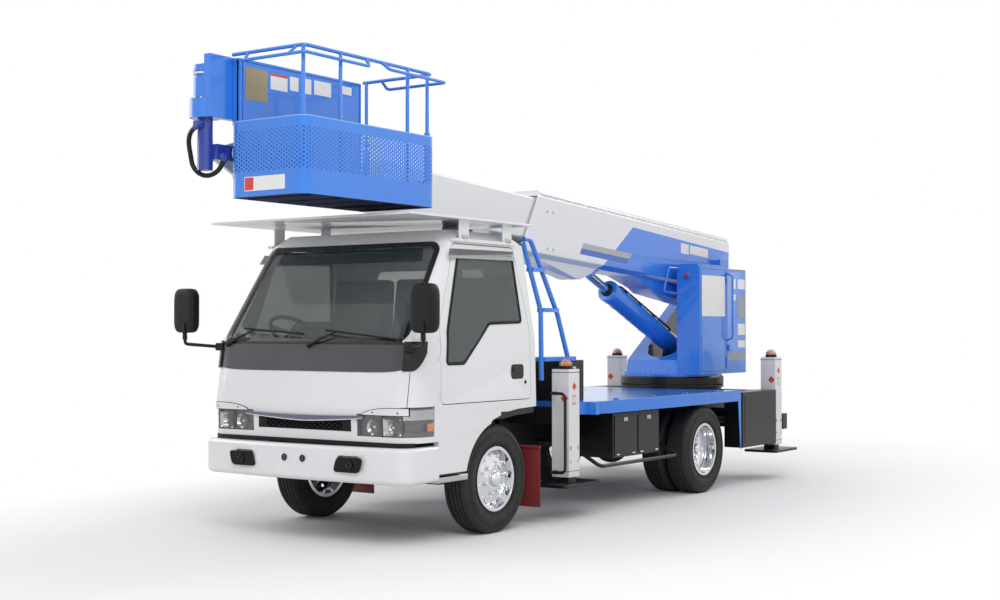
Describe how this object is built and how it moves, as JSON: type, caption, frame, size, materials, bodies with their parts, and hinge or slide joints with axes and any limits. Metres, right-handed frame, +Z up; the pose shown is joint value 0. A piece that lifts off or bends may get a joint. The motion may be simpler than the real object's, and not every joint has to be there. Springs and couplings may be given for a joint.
{
  "type": "cherry picker truck",
  "caption": "Narrow cab-over truck with a slewing, luffing and telescoping boom that carries a levelled work basket, jacks at the corners and a flat deck.",
  "frame": {"origin": "on the ground under the centre of the truck's outline", "axes": "+Z up, +Y from the front of the truck to its rear, +X to the truck's left side"},
  "size_m": [2.17, 6.6478, 2.9139],
  "materials": {
    "white_paint": "gloss",
    "blue_paint": "gloss",
    "black_paint": "satin",
    "black_plastic": "matte",
    "grey_plastic": "matte",
    "cast_metal": "rough",
    "chrome": "polished",
    "tyre": "matte",
    "hose_rubber": "satin",
    "red_rubber": "matte",
    "glass": "clear",
    "lamp_glass": "clear",
    "beacon_glass": "clear",
    "red_plastic": "gloss",
    "seat_fabric": "matte"
  },
  "bodies": {
    "truck": {"chassis_frame": "black_paint", "cross_tubes": "black_paint", "sub_frame": "black_paint", "slewing_ring": "black_paint", "front_axle": "cast_metal", "rear_axle": "cast_metal", "engine_block": "cast_metal", "fuel_tank": "black_paint", "cab_shell": "white_paint", "cab_glass": "glass", "cab_trim": "black_plastic", "front_lamps": "lamp_glass", "grille": "black_plastic", "bumper": "white_paint", "dashboard": "grey_plastic", "seats": "seat_fabric", "mirrors": "black_plastic", "roof_board": "blue_paint", "ladder": "blue_paint", "deck": "blue_paint", "side_boxes": "black_paint", "side_guards": "black_paint", "mudflaps": "red_rubber", "jack_housings": "white_paint", "beacons": "beacon_glass", "rear_body": "black_paint", "tail_lamps": "red_plastic", "boom_rest": "black_paint"},
    "knuckle_left": {"left_knuckle": "cast_metal"},
    "knuckle_right": {"right_knuckle": "cast_metal"},
    "wheel_front_left": {"front_left_tyre": "tyre", "front_left_wheel": "chrome"},
    "wheel_front_right": {"front_right_tyre": "tyre", "front_right_wheel": "chrome"},
    "wheels_rear_left": {"rear_left_tyres": "tyre", "rear_left_wheels": "chrome"},
    "wheels_rear_right": {"rear_right_tyres": "tyre", "rear_right_wheels": "chrome"},
    "steering": {"steering_wheel": "black_plastic"},
    "door_left": {"left_door": "white_paint", "left_door_glass": "glass"},
    "door_right": {"right_door": "white_paint", "right_door_glass": "glass"},
    "superstructure": {"turret": "blue_paint", "turret_cabinets": "blue_paint"},
    "boom": {"boom_base": "blue_paint"},
    "boom_middle": {"boom_second": "white_paint"},
    "boom_inner": {"boom_third": "white_paint"},
    "lift_cylinder": {"lift_barrel": "blue_paint"},
    "lift_piston": {"lift_rod": "chrome"},
    "boom_tip": {"tip_bracket": "blue_paint", "hose_loop": "hose_rubber"},
    "basket": {"swing_post": "blue_paint", "basket_tub": "blue_paint", "basket_rails": "blue_paint"},
    "jack_front_left": {"front_left_jack": "black_paint"},
    "jack_front_right": {"front_right_jack": "black_paint"},
    "jack_rear_left": {"rear_left_jack": "black_paint"},
    "jack_rear_right": {"rear_right_jack": "black_paint"}
  },
  "joints": [
    {"name": "steer_left", "type": "hinge", "parent": "truck", "child": "knuckle_left", "pos_m": [0.6, -1.478, 0.355], "axis": [0, 0, 1], "range_deg": [-35, 35]},
    {"name": "steer_right", "type": "hinge", "parent": "truck", "child": "knuckle_right", "pos_m": [-0.6, -1.478, 0.355], "axis": [0, 0, 1], "range_deg": [-35, 35]},
    {"name": "steering_wheel_turn", "type": "hinge", "parent": "truck", "child": "steering", "pos_m": [-0.45, -1.998, 1.27], "axis": [0, 0.6428, 0.766], "range_deg": [-525, 525]},
    {"name": "spin_front_left", "type": "hinge", "parent": "knuckle_left", "child": "wheel_front_left", "pos_m": [0.72, -1.478, 0.348], "axis": [1, 0, 0], "continuous": true},
    {"name": "spin_front_right", "type": "hinge", "parent": "knuckle_right", "child": "wheel_front_right", "pos_m": [-0.72, -1.478, 0.348], "axis": [1, 0, 0], "continuous": true},
    {"name": "spin_rear_left", "type": "hinge", "parent": "truck", "child": "wheels_rear_left", "pos_m": [0.675, 1.372, 0.348], "axis": [1, 0, 0], "continuous": true},
    {"name": "spin_rear_right", "type": "hinge", "parent": "truck", "child": "wheels_rear_right", "pos_m": [-0.675, 1.372, 0.348], "axis": [1, 0, 0], "continuous": true},
    {"name": "door_left_open", "type": "hinge", "parent": "truck", "child": "door_left", "pos_m": [0.834, -2.133, 1], "axis": [0, 0, -1], "range_deg": [0, 70]},
    {"name": "door_right_open", "type": "hinge", "parent": "truck", "child": "door_right", "pos_m": [-0.834, -2.133, 1], "axis": [0, 0, 1], "range_deg": [0, 70]},
    {"name": "slew", "type": "hinge", "parent": "truck", "child": "superstructure", "pos_m": [0, 2.467, 0.9], "axis": [0, 0, 1], "continuous": true},
    {"name": "luff", "type": "hinge", "parent": "superstructure", "child": "boom", "pos_m": [0, 3.082, 1.89], "axis": [-1, 0, 0], "range_deg": [0, 75]},
    {"name": "lift_cylinder_swing", "type": "hinge", "parent": "superstructure", "child": "lift_cylinder", "pos_m": [0, 2.572, 1.13], "axis": [-1, 0, 0], "range_deg": [0, 65.29]},
    {"name": "lift_rod_slide", "type": "slide", "parent": "lift_cylinder", "child": "lift_piston", "axis": [0, -0.9269, 0.3753], "range_m": [0, 1.0482]},
    {"name": "boom_extend", "type": "slide", "parent": "boom", "child": "boom_middle", "axis": [0, -0.9981, 0.061], "range_m": [0, 2.1]},
    {"name": "boom_inner_extend", "type": "slide", "parent": "boom_middle", "child": "boom_inner", "axis": [0, -0.9981, 0.061], "range_m": [0, 2.1]},
    {"name": "tip_level", "type": "hinge", "parent": "boom_inner", "child": "boom_tip", "pos_m": [0, -3.05213, 2.33731], "axis": [-1, 0, 0], "range_deg": [-75, 0]},
    {"name": "basket_swing", "type": "hinge", "parent": "boom_tip", "child": "basket", "pos_m": [-0.026, -3.238, 2.53], "axis": [0, 0, -1], "range_deg": [0, 180]},
    {"name": "jack_front_left_down", "type": "slide", "parent": "truck", "child": "jack_front_left", "axis": [0, 0, -1], "range_m": [0, 0.232]},
    {"name": "jack_front_right_down", "type": "slide", "parent": "truck", "child": "jack_front_right", "axis": [0, 0, -1], "range_m": [0, 0.232]},
    {"name": "jack_rear_left_down", "type": "slide", "parent": "truck", "child": "jack_rear_left", "axis": [0, 0, -1], "range_m": [0, 0.232]},
    {"name": "jack_rear_right_down", "type": "slide", "parent": "truck", "child": "jack_rear_right", "axis": [0, 0, -1], "range_m": [0, 0.232]}
  ],
  "couplings": [
    {"joint": "steer_right", "follows": "steer_left", "ratio": 1},
    {"joint": "steering_wheel_turn", "follows": "steer_left", "ratio": 15},
    {"joint": "lift_cylinder_swing", "follows": "luff", "ratio": 0.8678},
    {"joint": "lift_rod_slide", "follows": "luff", "m_per_rad": 0.7992},
    {"joint": "tip_level", "follows": "luff", "ratio": -1},
    {"joint": "boom_inner_extend", "follows": "boom_extend", "ratio": 1}
  ]
}
